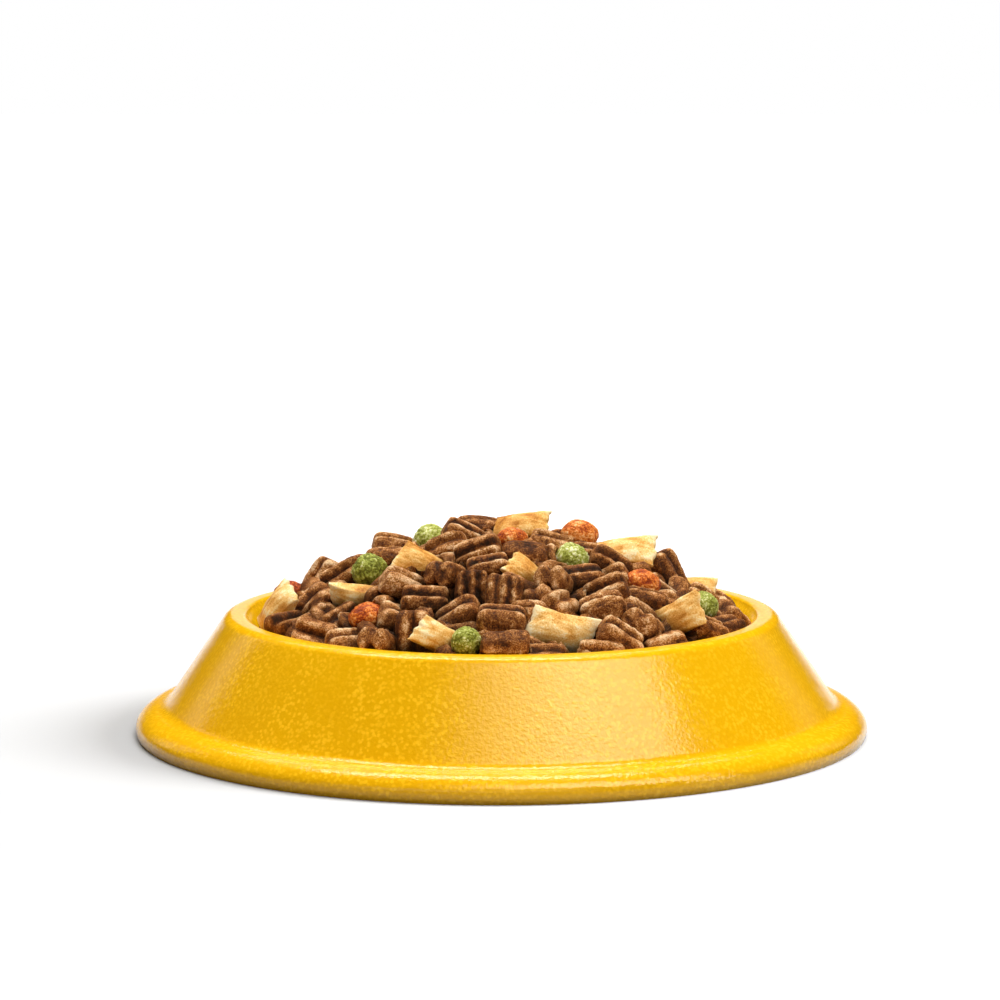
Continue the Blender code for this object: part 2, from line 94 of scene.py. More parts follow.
# Kibble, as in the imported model
BAR_GROOVE_DEPTH = 1.3 * MM
PILLOW_CRIMP = 1.3 * MM
PILLOW_SLANT = 2.4 * MM
BAR_THICKNESS = 8 * MM
SIZES = {
    "bar": Vector((13, 9.8, 8)) * MM,
    "triple": Vector((12.5, 10.5, 7)) * MM,
    "ball": Vector((10.8, 10.8, 10.8)) * MM,
    "nugget": Vector((12.4, 10.4, 9.4)) * MM,
    "pillow": Vector((18, 12, 8)) * MM,
}
LOBES = {"bar": 2, "triple": 3}
NODE_NAMES = {
    "bar": "brown_bar",
    "triple": "brown_triple_bar",
    "ball": "green_ball",
    "nugget": "orange_nugget",
    "pillow": "yellow_pillow",
}

# Heap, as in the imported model
HEAP_CROWN = 28 * MM
HEAP_FALL = 1.56
BED_DEPTH = 8.6 * MM
BED_EDGE_DROP = 5.5 * MM
FUSED_SPACING = 12.4 * MM
FUSED_EDGE = 0.9
FUSED_SINK = 0.15 * BAR_THICKNESS
FUSED_DEPTH = BED_DEPTH + FUSED_SINK - BAR_THICKNESS / 2
LOOSE_DEPTH = BAR_THICKNESS / 2
LOOSE_ROOM = 0.16
GAP = 0.3 * MM
SEED = 11
SPIRAL_KINDS = ["bar"] * 9 + ["ball"] * 2 + ["nugget"] * 2 + ["pillow"]

# A lower layer of kibble that fills the gaps of the bed
DEEP_SPACING = 9.5 * MM
DEEP_DEPTH = 8.2 * MM
DEEP_EDGE = 0.88
CORE_SINK = 2 * MM
CENTRE_TRIES = 4
CENTRE_STEP = 1.5 * MM

# The core under the kibble. Its lowered colour level and low tint darken it as
# painted shade
CORE_RINGS = 15
CORE_REACH = 0.97
CORE_RUN = 3 * MM
CORE_STEPS = 96
CORE_PAINTED_SHADE = 0.6
CORE_TINT = 0.3

# How the kibble's forms round off, swell and wrinkle
BAR_ROUNDNESS = 3.4
GROOVE_WINDING = 2.2
GROOVE_LIMIT = 0.72
PILLOW_SWELL = 2.2
PILLOW_WAIST = 0.84
PILLOW_SIDE_FALL = 0.62
PILLOW_END_FALL = 0.35
PILLOW_RAGGED = 0.9 * MM
LUMP_HEIGHT = 0.03

# How much paler the lobes are as painted highlight, how much darker the grooves
# are as painted shade, and how much paler the pressed ends are
LOBE_PAINTED_HIGHLIGHT = 0.35
GROOVE_PAINTED_SHADE = 0.75
END_PALE = 0.5

# Speckled plastic: scales in waves for each metre, colours linear
SPECKLE_SCALE = 760
SPECKLE_EDGE_SCALE = 700
SPECKLE_RAGGED = 1.2
SPECKLE_BLUR = 0.42
SPECKLE_LEAST = 0.35
CLUSTER_SCALE = 60
CLUSTER_RANGE = (0.32, 0.62)
GROUND_SCALE = 18
GROUND_RANGE = (0.3, 0.7)
DEEP_YELLOW = (0.80, 0.402, 0.0006, 1)
LIGHT_YELLOW = (0.84, 0.43, 0.0006, 1)
SPECKLE_YELLOW = (0.96, 0.53, 0.010, 1)
PEEL_SCALE = 1000
WAVE_SCALE = 210
WAVE_WEIGHT = 0.6
PEEL_DEPTH = 0.12 * MM
PLASTIC_ROUGHNESS = 0.15
PLASTIC_IOR = 1.5
PLASTIC_SPECULAR = 0.4
PLASTIC_SPECULAR_TINT = (1, 1, 0.8, 1)

# Dough: scales in waves for each mm, colours linear, from pits to bumps
PATCH_SCALE = 0.33
PATCH_WEIGHT = 0.45
TINT_WEIGHT = 0.36
PORES_PER_GRAIN = 0.75
PORE_RANGE = (0.08, 0.34)
PORE_BUMP = 0.5
DOUGH_SPECULAR = 0.22
DOUGH_SPECULAR_TINT = (1, 0.84, 0.56, 1)
BROWN_DOUGH = {
    "stops": [
        (0.0, (0.014, 0.0028, 0.0005)),
        (0.27, (0.075, 0.018, 0.003)),
        (0.50, (0.235, 0.070, 0.011)),
        (0.72, (0.56, 0.238, 0.064)),
        (0.95, (0.90, 0.62, 0.34)),
    ],
    "grain": 2.5,
    "grain_weight": 1.4,
    "relief_weight": 0.62,
    "pore_painted_shade": 0.38,
    "bump_depth": 0.45 * MM,
    "roughness": 0.48,
}
GREEN_DOUGH = {
    "stops": [
        (0.0, (0.090, 0.090, 0.008)),
        (0.30, (0.21, 0.23, 0.026)),
        (0.52, (0.39, 0.42, 0.065)),
        (0.74, (0.64, 0.65, 0.23)),
        (0.95, (0.84, 0.84, 0.54)),
    ],
    "grain": 1.8,
    "grain_weight": 1.5,
    "relief_weight": 0.6,
    "pore_painted_shade": 0.32,
    "bump_depth": 0.3 * MM,
    "roughness": 0.55,
}
ORANGE_DOUGH = {
    "stops": [
        (0.0, (0.15, 0.018, 0.003)),
        (0.28, (0.38, 0.050, 0.006)),
        (0.52, (0.72, 0.175, 0.018)),
        (0.75, (0.90, 0.39, 0.10)),
        (0.95, (0.96, 0.63, 0.30)),
    ],
    "grain": 1.8,
    "grain_weight": 1.5,
    "relief_weight": 0.6,
    "pore_painted_shade": 0.28,
    "bump_depth": 0.3 * MM,
    "roughness": 0.45,
}
YELLOW_DOUGH = {
    "stops": [
        (0.0, (0.30, 0.085, 0.008)),
        (0.25, (0.50, 0.18, 0.022)),
        (0.50, (0.72, 0.34, 0.065)),
        (0.75, (0.89, 0.57, 0.19)),
        (0.95, (0.95, 0.78, 0.45)),
    ],
    "grain": 2.0,
    "grain_weight": 1.05,
    "relief_weight": 0.45,
    "pore_painted_shade": 0.14,
    "bump_depth": 0.2 * MM,
    "roughness": 0.5,
}

# Painted shade: how the dough darkens with its depth in the heap, in mm
PAINTED_SHADE_START = 2.0
PAINTED_SHADE_END = 7.5
PAINTED_SHADE_LEVEL = 0.12

# Mesh fineness: cuts along the length, width and thickness, or ball divisions
LOOSE_CUTS = {"bar": (26, 21, 17), "triple": (26, 24, 15), "pillow": (34, 23, 9)}
LOOSE_BALL = 5
BED_CUTS = {"bar": (15, 12, 9), "triple": (15, 12, 9), "pillow": (18, 12, 5)}
BED_BALL = 4
DEEP_CUTS = {"bar": (7, 7, 4)}

# The loose kibble that the front of the heap shows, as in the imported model.
# Kind, place across and back in hundredths of the heap's radius, then the
# turn about the vertical, the rise of its right end and its roll in degrees,
# its size, and how far in mm it stands above the heap's smooth form.
LOOSE = [
    ("bar", -92, -20, 60, 70, 0, 0.95, 0),
    ("pillow", -84, -18, 0, 56, 38, 0.85, 0),
    ("bar", -82, -43, 50, 0, 20, 1.0, 0),
    ("bar", -70, -62, -25, -14, 60, 1.0, 0),
    ("nugget", -84, 18, 20, 0, 0, 0.9, 2),
    ("bar", -73, -31, 10, 42, 30, 1.0, 0),
    ("bar", -72, 18, 10, 60, 30, 0.95, 1),
    ("bar", -62, -7, 0, 30, 40, 1.0, 0),
    ("bar", -64, -55, 45, 15, 30, 0.95, 0),
    ("pillow", -54, -41, 0, -5, -64, 0.95, -2),
    ("ball", -51, -20, 0, 0, 0, 1.0, 1),
    ("nugget", -50, -65, 15, -5, 0, 1.0, 0),
    ("bar", -58, -74, 25, 0, 20, 0.95, 0),
    ("bar", -46, -78, 70, -25, 0, 0.95, 0),
    ("bar", -34, -78, 90, 78, 0, 1.05, 0),
    ("bar", -38, -43, 20, -25, 30, 1.0, 0),
    ("bar", -29, -61, 0, -4, 30, 1.05, 0),
    ("pillow", -31, -28, 15, -32, 62, 0.85, 0),
    ("ball", -32, 15, 0, 0, 0, 1.0, 1),
    ("pillow", -24, -82, 10, -30, 68, 0.76, 0),
    ("ball", -13, -86, 0, 0, 0, 0.8, 0),
    ("bar", -16, -73, -10, 30, 30, 1.05, 0),
    ("triple", -11, -57, 90, 66, 0, 1.0, 0),
    ("bar", -21, -44, 60, -20, 0, 1.05, 0),
    ("bar", 0, -75, 3, -4, 10, 1.1, 0),
    ("bar", 1, -90, 0, 0, -55, 1.05, 0),
    ("triple", 1, -60, 80, 62, 0, 1.0, 0),
    ("pillow", 10, -49, 20, -44, 55, 0.85, 0),
    ("bar", -5, -42, 0, 12, 20, 0.95, 0),
    ("bar", -9, -30, -5, 22, 40, 1.05, 0),
    ("bar", -21, -19, 0, 18, 40, 1.0, 0),
    ("bar", -15, -9, 10, -28, 20, 1.0, 0),
    ("bar", -43, 17, 5, -10, 10, 1.0, 2),
    ("bar", -44, -10, 30, 0, 0, 1.0, 0),
    ("bar", -9, 10, 0, 0, 10, 1.05, 0),
    ("pillow", 5, 10, -5, 7, 40, 0.92, 1.5),
    ("nugget", 4, -10, 0, 0, 0, 0.8, 0),
    ("nugget", 31, 15, 0, 0, 0, 0.95, 3),
    ("bar", 19, -19, 0, -15, 20, 1.0, 0),
    ("bar", 9, -33, 0, -2, -50, 1.05, 0),
    ("ball", 27, -27, 0, 0, 0, 0.95, 0),
    ("bar", 46, 17, 50, 0, 0, 0.95, 4),
    ("pillow", 48, 6, 0, 7, 35, 1.08, 2),
    ("bar", 42, -22, 10, -34, 40, 1.0, 0),
    ("bar", 65, 5, 0, -62, 30, 1.1, 1),
    ("nugget", 54, -30, 0, -5, 0, 0.95, 0),
    ("bar", 21, -46, 70, -25, 0, 0.95, 0),
    ("bar", 33, -44, 15, 5, 20, 1.05, 0),
    ("bar", 23, -63, 60, 0, 40, 0.95, 0),
    ("bar", 40, -47, -5, 26, 40, 1.0, 0),
    ("bar", 38, -59, 5, 12, 10, 1.05, 0),
    ("pillow", 22, -80, 0, -13, 66, 1.05, 0),
    ("bar", 44, -76, 15, -36, 30, 1.05, 0),
    ("bar", 55, -47, -5, -12, 0, 0.95, 0),
    ("bar", 53, -65, 70, -20, 20, 1.05, 0),
    ("pillow", 67, -50, -15, 30, 74, 0.88, 1),
    ("ball", 78, -22, 0, 0, 0, 0.85, 0),
    ("bar", 78, -48, 30, -22, 20, 0.95, 0),
]

# Kibble of the bed that shows a little. The columns are the same.
FUSED = [
    ("bar", -63, 22, 0, 22, 20, 1.0, 0),
    ("bar", -54, 18, 0, 0, 10, 1.0, 0),
    ("pillow", -51, 30, 0, 40, 60, 0.9, 0),
    ("bar", -5, 21, 0, 10, 20, 1.0, 0),
    ("bar", 22, 13, 60, 0, 10, 1.0, 0),
    ("bar", 35, -6, 20, -10, 20, 1.0, 0),
    ("bar", 11, -68, 0, 0, 20, 1.0, 0),
    ("bar", 62, -70, 30, 10, 50, 1.0, 0),
    ("bar", 37, -86, 0, -5, 50, 1.0, 0),
    ("bar", 16, -91, 0, 0, 30, 0.9, 0),
    ("bar", 68, -35, 0, -15, 10, 1.0, 0),
    ("pillow", 74, 9, 0, 0, 40, 0.9, 0),
    ("bar", 82, 20, 0, -28, 20, 1.0, 0),
    ("bar", 79, -5, 0, -38, 20, 1.0, 0),
    ("bar", 85, -33, 35, 5, 10, 1.0, 0),
    ("bar", 90, -11, 40, -38, 20, 1.0, 0),
]

# Camera
CAMERA_PLACE = (-0.45 * MM, -1030.7 * MM, 200.3 * MM)
CAMERA_DIP = math.radians(7.228)
CAMERA_LENS = 124.7
CAMERA_REACH = 100

# Softboxes: direction from the target, direction of the long side, width and
# height in degrees, radiance, levels along the long side, colour. The lamp
# scale turns a radiance into watts for each square metre.
TARGET = Vector((0, -60 * MM, 25 * MM))
SOFTBOX_DISTANCE = 1.3
LAMP_SCALE = 4
KEY_LEVELS = [(0.0, 0.0), (0.12, 0.1), (0.55, 1.0), (1.0, 0.62)]
SOFTBOXES = {
    "key": ((0.26, -0.43, 0.865), (1.05, 0.34, -0.14), 68, 20, 6.0, KEY_LEVELS),
    "top_back": ((-0.08, 0.44, 0.89), (1, 0, 0), 42, 35, 4.2),
    "rim_strip": ((-0.08, 0.30, 0.95), (1, 0, 0), 44, 12, 8.0),
    "lip_strip": ((-0.08, 0.70, 0.70), (1, 0, 0), 44, 4, 4.0),
    "left_strip": ((-0.70, 0.64, 0.33), (0, 0, 1), 22, 7, 0.7),
    "right_strip": ((0.70, 0.64, 0.33), (0, 0, 1), 22, 7, 0.3),
    "front_fill": ((-0.22, -0.84, 0.50), (1, 0, 0), 76, 15, 1.3, None, (1, 0.87, 0.76)),
    "low_right": ((0.87, -0.29, 0.38), (0, 0, 1), 12, 10, 5),
    "floor_light": ((0.80, 0.10, 0.60), (0, 0, 1), 22, 22, 38),
}

# Black cards behind the bowl
FLAG_DISTANCE = 2.0
FLAG_WIDTH = math.radians(58)
FLAG_HEIGHT = 1.1
FLAG_SHADE = 0.02
FLAGS = {"left_flag": (-0.62, 0.78), "right_flag": (0.62, 0.78)}

# Background: an even light of its own, and a white horizon that fades into a
# dim ceiling between two heights of a direction's unit vector
AMBIENT = 0.12
HORIZON = 0.09
CEILING_START = 0.3
CEILING_LEVEL = 0.05

# Floor: its glow and the light that it throws back grow between a start and an
# end distance from the bowl's axis. Close round the foot it throws back almost
# nothing, as painted shade under the lip.
FLOOR_REACH = 12
FLOOR_SHADE = 0.362
GLOW_START = 0.17
GLOW_END = 0.7
FLOOR_BOUNCE = 0.2
PAINTED_SHADE_UNDER_FOOT = 0.01
BOUNCE_START = FOOT_RADIUS - 2 * MM
BOUNCE_END = FOOT_RADIUS + 10 * MM


# Node helpers

def make(tree, kind, inputs=None, **settings):
    """A node. Each input is a value or another node's output."""
    node = tree.nodes.new(kind)
    for name, value in settings.items():
        setattr(node, name, value)
    for name, value in (inputs or {}).items():
        if isinstance(value, bpy.types.NodeSocket):
            tree.links.new(value, node.inputs[name])
        else:
            node.inputs[name].default_value = value
    return node


def maths(tree, operation, first, second):
    """The result of a sum on two values."""
    return make(tree, "ShaderNodeMath", {0: first, 1: second}, operation=operation).outputs[0]


def remap(tree, value, low, high, new_low=0.0, new_high=1.0):
    """A value's range mapped smoothly onto another one."""
    inputs = {"Value": value, "From Min": low, "From Max": high,
              "To Min": new_low, "To Max": new_high}
    node = make(tree, "ShaderNodeMapRange", inputs, interpolation_type="SMOOTHSTEP")
    return node.outputs["Result"]


def mixed(tree, share, first, second, blend="MIX"):
    """Two colours mixed by a share."""
    node = make(tree, "ShaderNodeMix", data_type="RGBA", blend_type=blend)
    sockets = (node.inputs[0], node.inputs[6], node.inputs[7])
    for socket, value in zip(sockets, (share, first, second)):
        if isinstance(value, bpy.types.NodeSocket):
            tree.links.new(value, socket)
        else:
            socket.default_value = value
    return node.outputs[2]


def ramp(tree, value, stops):
    """A colour ramp. Each stop is a place and a colour."""
    node = make(tree, "ShaderNodeValToRGB", {"Fac": value})
    elements = node.color_ramp.elements
    while len(elements) < len(stops):
        elements.new(0.5)
    for element, (place, colour) in zip(elements, stops):
        element.position = place
        element.color = (*colour, 1)
    return node.outputs["Color"]


def noise_of(tree, coords, scale, detail=2.0, rough=0.5):
    """A noise from 0 to 1. The scale counts its waves in each unit."""
    inputs = {"Vector": coords, "Scale": scale, "Detail": detail, "Roughness": rough}
    return make(tree, "ShaderNodeTexNoise", inputs).outputs["Fac"]


def new_material(name):
    """A material with its tree and its shader."""
    material = bpy.data.materials.new(name)
    material.use_nodes = True
    tree = material.node_tree
    return material, tree, tree.nodes["Principled BSDF"]


def add_bump(tree, shader, height, depth):
    """Lets a height roughen the shader's surface to a depth."""
    inputs = {"Height": height, "Distance": depth, "Strength": 1.0}
    bump = make(tree, "ShaderNodeBump", inputs)
    tree.links.new(bump.outputs["Normal"], shader.inputs["Normal"])


# Materials

def plastic_material():
    """Glossy yellow plastic with pale speckles and an orange-peel surface."""
    material, tree, shader = new_material("speckled_yellow_plastic")
    place = make(tree, "ShaderNodeTexCoord").outputs["Object"]
    cells = make(tree, "ShaderNodeTexVoronoi", {"Vector": place, "Scale": SPECKLE_SCALE})
    edges = noise_of(tree, place, SPECKLE_EDGE_SCALE, detail=1.5)
    ragged = maths(tree, "MULTIPLY", edges, SPECKLE_RAGGED)
    clusters = noise_of(tree, place, CLUSTER_SCALE)
    broad = noise_of(tree, place, GROUND_SCALE)
    density = remap(tree, clusters, *CLUSTER_RANGE, SPECKLE_LEAST, 1.0)
    dots = maths(tree, "SUBTRACT", ragged, cells.outputs["Distance"])
    share = maths(tree, "MULTIPLY", remap(tree, dots, 0.0, SPECKLE_BLUR), density)
    ground = mixed(tree, remap(tree, broad, *GROUND_RANGE), DEEP_YELLOW, LIGHT_YELLOW)
    colour = mixed(tree, share, ground, SPECKLE_YELLOW)
    tree.links.new(colour, shader.inputs["Base Color"])

    peel = noise_of(tree, place, PEEL_SCALE, detail=1.5)
    waves = noise_of(tree, place, WAVE_SCALE, detail=1.5)
    height = maths(tree, "ADD", peel, maths(tree, "MULTIPLY", waves, WAVE_WEIGHT))
    add_bump(tree, shader, height, PEEL_DEPTH)
    shader.inputs["Roughness"].default_value = PLASTIC_ROUGHNESS
    shader.inputs["IOR"].default_value = PLASTIC_IOR
    shader.inputs["Specular IOR Level"].default_value = PLASTIC_SPECULAR
    shader.inputs["Specular Tint"].default_value = PLASTIC_SPECULAR_TINT
    return material


def crumb_material(name, dough):
    """Baked dough. Its bumps are painted pale as light, its pits and grooves painted dark as
    shade.

    The meshes carry the places in mm (form), how far each place stands out or
    lies in together with the bars' painted lobe highlight and groove shade (relief),
    a shade of each piece's own (tint) and how deep each place lies in the heap, in
    mm (depth): the dough is painted darker with depth, as shade between the pieces.
    """
    material, tree, shader = new_material(name)
    place = make(tree, "ShaderNodeAttribute", attribute_name="form").outputs["Vector"]
    relief = make(tree, "ShaderNodeAttribute", attribute_name="relief").outputs["Fac"]
    tint = make(tree, "ShaderNodeAttribute", attribute_name="tint").outputs["Fac"]
    fine = noise_of(tree, place, dough["grain"], detail=4.0, rough=0.65)
    patches = noise_of(tree, place, PATCH_SCALE)
    pore_scale = PORES_PER_GRAIN * dough["grain"]
    cells = make(tree, "ShaderNodeTexVoronoi", {"Vector": place, "Scale": pore_scale})
    pores = remap(tree, cells.outputs["Distance"], *PORE_RANGE)

    level = maths(tree, "MULTIPLY", relief, dough["relief_weight"])
    parts = ((fine, dough["grain_weight"]), (patches, PATCH_WEIGHT), (tint, TINT_WEIGHT))
    for part, weight in parts:
        change = maths(tree, "MULTIPLY", maths(tree, "SUBTRACT", part, 0.5), weight)
        level = maths(tree, "ADD", level, change)
    level = maths(tree, "ADD", level, 0.5)
    # The pores, which the bump sinks as pits, are painted darker as shade
    hollow = maths(tree, "MULTIPLY", maths(tree, "SUBTRACT", 1.0, pores), dough["pore_painted_shade"])
    level = maths(tree, "SUBTRACT", level, hollow)
    depth = make(tree, "ShaderNodeAttribute", attribute_name="depth").outputs["Fac"]
    # Painted shade: the dough darkens with its depth in the heap
    shade = remap(tree, depth, PAINTED_SHADE_START, PAINTED_SHADE_END, 1.0, PAINTED_SHADE_LEVEL)
    colour = mixed(tree, 1.0, ramp(tree, level, dough["stops"]), shade, blend="MULTIPLY")
    tree.links.new(colour, shader.inputs["Base Color"])

    height = maths(tree, "ADD", fine, maths(tree, "MULTIPLY", pores, PORE_BUMP))
    add_bump(tree, shader, height, dough["bump_depth"])
    shader.inputs["Roughness"].default_value = dough["roughness"]
    shader.inputs["Specular IOR Level"].default_value = DOUGH_SPECULAR
    shader.inputs["Specular Tint"].default_value = DOUGH_SPECULAR_TINT
    return material


def kibble_materials():
    """One crumbly material for each kind."""
    brown = crumb_material("baked_brown_dough", BROWN_DOUGH)
    return {
        "bar": brown,
        "triple": brown,
        "ball": crumb_material("crumbly_green_dough", GREEN_DOUGH),
        "nugget": crumb_material("crumbly_orange_dough", ORANGE_DOUGH),
        "pillow": crumb_material("baked_yellow_dough", YELLOW_DOUGH),
    }


# The bowl

def arc(centre, radius, start, end, count):
    """Points of an arc in the XZ plane, with angles in degrees from +X."""
    points = []
    for index in range(count):
        angle = math.radians(start + (end - start) * index / (count - 1))
        points.append((centre[0] + radius * math.cos(angle),
                       centre[1] + radius * math.sin(angle)))
    return points


def basin_radius(height):
    """Radius of the basin's straight wall at a height above the table."""
    share = (height - BASIN_FLOOR_HEIGHT) / (BOWL_HEIGHT - BASIN_FLOOR_HEIGHT)
    return BASIN_FLOOR_RADIUS + (RIM_INNER_RADIUS - BASIN_FLOOR_RADIUS) * share


def basin_profile(offset, top):
    """The basin's inner face, moved in by an offset, from a top height to its middle."""
    rise = BOWL_HEIGHT - BASIN_FLOOR_HEIGHT
    spread = RIM_INNER_RADIUS - BASIN_FLOOR_RADIUS
    lean = math.atan2(rise, spread)
    inset = BASIN_CORNER_RADIUS * math.tan(lean / 2)
    centre = (BASIN_FLOOR_RADIUS - inset, BASIN_FLOOR_HEIGHT + BASIN_CORNER_RADIUS)
    wall = (basin_radius(top) - offset / math.sin(lean), top)
    middle = (0, BASIN_FLOOR_HEIGHT + offset)
    start = math.degrees(lean) - 90
    count = ARC_POINTS["basin_corner"]
    corner = arc(centre, BASIN_CORNER_RADIUS - offset, start, -90, count)
    return [wall] + corner + [middle]


def wall_top():
    """Where the straight outer wall meets the rim's round shoulder."""
    return (RIM_OUTER_RADIUS - RIM_SHOULDER_RADIUS * (1 - math.cos(WALL_SLOPE)),
            BOWL_HEIGHT - RIM_SHOULDER_RADIUS * (1 - math.sin(WALL_SLOPE)))


def neck_centre(crest):
    """Centre of the hollow arc that meets the straight wall and the lip's top arc."""
    top = wall_top()
    normal = (math.cos(WALL_SLOPE), math.sin(WALL_SLOPE))
    down = (math.sin(WALL_SLOPE), -math.cos(WALL_SLOPE))
    start = (top[0] + normal[0] * NECK_RADIUS, top[1] + normal[1] * NECK_RADIUS)
    offset = (start[0] - crest[0], start[1] - crest[1])
    reach = NECK_RADIUS + LIP_TOP_RADIUS
    half = offset[0] * down[0] + offset[1] * down[1]
    rest = offset[0] ** 2 + offset[1] ** 2 - reach ** 2
    travel = -half - math.sqrt(max(half ** 2 - rest, 0))
    return (start[0] + down[0] * travel, start[1] + down[1] * travel)


def bowl_profile():
    """The shell's section: basin, rim, flared wall, foot and underside."""
    slope = math.degrees(WALL_SLOPE)
    turn = math.degrees(LIP_TURN)
    lip = (FOOT_RADIUS - LIP_RADIUS, LIP_CENTRE_HEIGHT)
    crest = (lip[0] - (LIP_TOP_RADIUS - LIP_RADIUS) * math.cos(LIP_TURN),
             lip[1] - (LIP_TOP_RADIUS - LIP_RADIUS) * math.sin(LIP_TURN))
    neck = neck_centre(crest)
    meet = math.degrees(math.atan2(neck[1] - crest[1], neck[0] - crest[0]))
    base_angle = -math.degrees(math.asin(LIP_CENTRE_HEIGHT / LIP_RADIUS))
    shoulder = (RIM_OUTER_RADIUS - RIM_SHOULDER_RADIUS, BOWL_HEIGHT - RIM_SHOULDER_RADIUS)
    rim = (RIM_INNER_RADIUS + RIM_INNER_ROUND, BOWL_HEIGHT - RIM_INNER_ROUND)

    inside = basin_profile(0, BOWL_HEIGHT - 2 * RIM_INNER_ROUND)
    outside = arc(rim, RIM_INNER_ROUND, RIM_ROUND_START, 90, ARC_POINTS["rim"])
    outside += arc(shoulder, RIM_SHOULDER_RADIUS, 90, slope, ARC_POINTS["shoulder"])
    outside += arc(neck, NECK_RADIUS, slope + 180, meet + 180, ARC_POINTS["neck"])
    outside += arc(crest, LIP_TOP_RADIUS, meet, turn, ARC_POINTS["crest"])[1:]
    outside += arc(lip, LIP_RADIUS, turn, base_angle, ARC_POINTS["lip"])[1:]

    hollow_top = BOWL_HEIGHT - 2 * WALL_THICKNESS
    skirt_top = hollow_top - WALL_THICKNESS
    top = wall_top()
    wall_radius = top[0] + (top[1] - skirt_top) * math.tan(WALL_SLOPE)
    skirt_radius = wall_radius - WALL_THICKNESS / math.cos(WALL_SLOPE)
    foot_inside = outside[-1][0] - LIP_FLAT_WIDTH
    under_crest = LIP_TOP_RADIUS - WALL_THICKNESS
    rise = math.degrees(math.acos((foot_inside - crest[0]) / under_crest))
    skirt = [(foot_inside, 0)]
    skirt += arc(crest, under_crest, rise, meet, ARC_POINTS["under_crest"])
    under_neck = NECK_RADIUS + WALL_THICKNESS
    skirt += arc(neck, under_neck, meet + 180, slope + 180, ARC_POINTS["under_neck"])[1:]
    skirt.append((skirt_radius, skirt_top))
    basin = basin_profile(-WALL_THICKNESS, skirt_top)
    crown = ((skirt_radius + basin[0][0]) / 2, hollow_top)
    return inside[::-1] + outside + skirt + [crown] + basin


def split_long(profile, longest):
    """The profile with its long straight runs cut into shorter ones."""
    points = [profile[0]]
    for end in profile[1:]:
        start = points[-1]
        count = max(1, math.ceil(math.dist(start, end) / longest))
        for index in range(1, count + 1):
            share = index / count
            points.append((start[0] + (end[0] - start[0]) * share,
                           start[1] + (end[1] - start[1]) * share))
    return points


def turned(name, profile, steps):
    """A profile in the XZ plane, turned about Z into a closed mesh."""
    mesh = bpy.data.meshes.new(name)
    edges = [(i, i + 1) for i in range(len(profile) - 1)]
    mesh.from_pydata([(x, 0, z) for x, z in profile], edges, [])
    blank = bpy.data.objects.new(name, mesh)
    bpy.context.scene.collection.objects.link(blank)
    screw = blank.modifiers.new("turn", "SCREW")
    screw.steps = steps
    screw.render_steps = steps
    screw.use_merge_vertices = True
    screw.merge_threshold = MERGE_DISTANCE
    depsgraph = bpy.context.evaluated_depsgraph_get()
    solid = bpy.data.meshes.new_from_object(blank.evaluated_get(depsgraph))
    bpy.data.objects.remove(blank)
    solid.shade_smooth()
    solid.set_sharp_from_angle(angle=SHARP_ANGLE)
    return solid


def place_piece(name, mesh, material, nodes):
    """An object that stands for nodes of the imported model."""
    piece = bpy.data.objects.new(name, mesh)
    bpy.context.scene.collection.objects.link(piece)
    mesh.materials.clear()
    mesh.materials.append(material)
    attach(piece, "root")
    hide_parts(*nodes)
    return piece


# The forms of the kibble

def cuboid(cuts):
    """A cube from -1 to 1 whose edges along each axis are cut evenly."""
    grid = bmesh.new()
    bmesh.ops.create_cube(grid, size=2)
    for axis, count in enumerate(cuts):
        along = []
        for edge in grid.edges:
            step = edge.verts[0].co - edge.verts[1].co
            if abs(step[axis]) > 1:
                along.append(edge)
        bmesh.ops.subdivide_edges(grid, edges=along, cuts=count, use_grid_fill=True)
    return grid


def rounded(point, power, end_power):
    """Moves a point of the cube's surface onto a box with round edges.

    The end power sets how sharp the edges round the two ends are.
    """
    round_part = (abs(point.y) ** power + abs(point.z) ** power) ** (end_power / power)
    return point / (abs(point.x) ** end_power + round_part) ** (1 / end_power)


def bar_form(point, size, lobes, own):
    """A cut length of dough with parallel lobes along its broad faces."""
    place = rounded(point, BAR_ROUNDNESS, own["end_power"])
    inner = 1 - place.y ** 2
    winding = own["groove_wave"] * math.sin(GROOVE_WINDING * place.x + own["phase"])
    across = place.y + own["groove_shift"] * inner + winding * inner
    wave = abs(math.sin(math.pi * lobes * (across + 1) / 2))
    cut = own["groove"] * BAR_GROOVE_DEPTH * (1 - wave) * (1 - abs(place.y) ** 6)
    height = place.z * size.z / 2
    height -= math.copysign(min(cut, abs(height) * GROOVE_LIMIT), height)
    return Vector((place.x * size.x / 2, place.y * size.y / 2, height))


def pillow_form(point, size, own):
    """A stuffed tube that is pressed flat at both ends."""
    length = point.x
    swell = 1 - abs(length) ** PILLOW_SWELL
    width = point.y * (PILLOW_WAIST + (1 - PILLOW_WAIST) * length ** 2)
    body = (size.z - PILLOW_CRIMP) / 2 * swell * (1 - PILLOW_SIDE_FALL * point.y ** 2)
    crimp = PILLOW_CRIMP / 2 * (1 - PILLOW_END_FALL * abs(length) ** 6)
    height = point.z * (body + crimp)
    ragged = PILLOW_RAGGED * noise.noise(Vector((3.1 * point.y, 2.0 * length, own["phase"])))
    along = length * (size.x / 2 + ragged * abs(length) ** 3) + point.y * PILLOW_SLANT / 2
    return Vector((along, width * size.y / 2, height))


def round_form(point, size):
    """A lumpy ball or nugget."""
    lumps = 1 + LUMP_HEIGHT * math.sin(5.1 * point.x + 2.3) * math.sin(4.7 * point.y + 0.9)
    return Vector((point.x * size.x, point.y * size.y, point.z * size.z)) * lumps / 2


def kibble_form(kind, point, own):
    """Where a point of the kind's plain grid lies on its surface."""
    size = SIZES[kind]
    if kind in LOBES:
        return bar_form(point, size, LOBES[kind], own)
    if kind == "pillow":
        return pillow_form(point, size, own)
    return round_form(point, size)


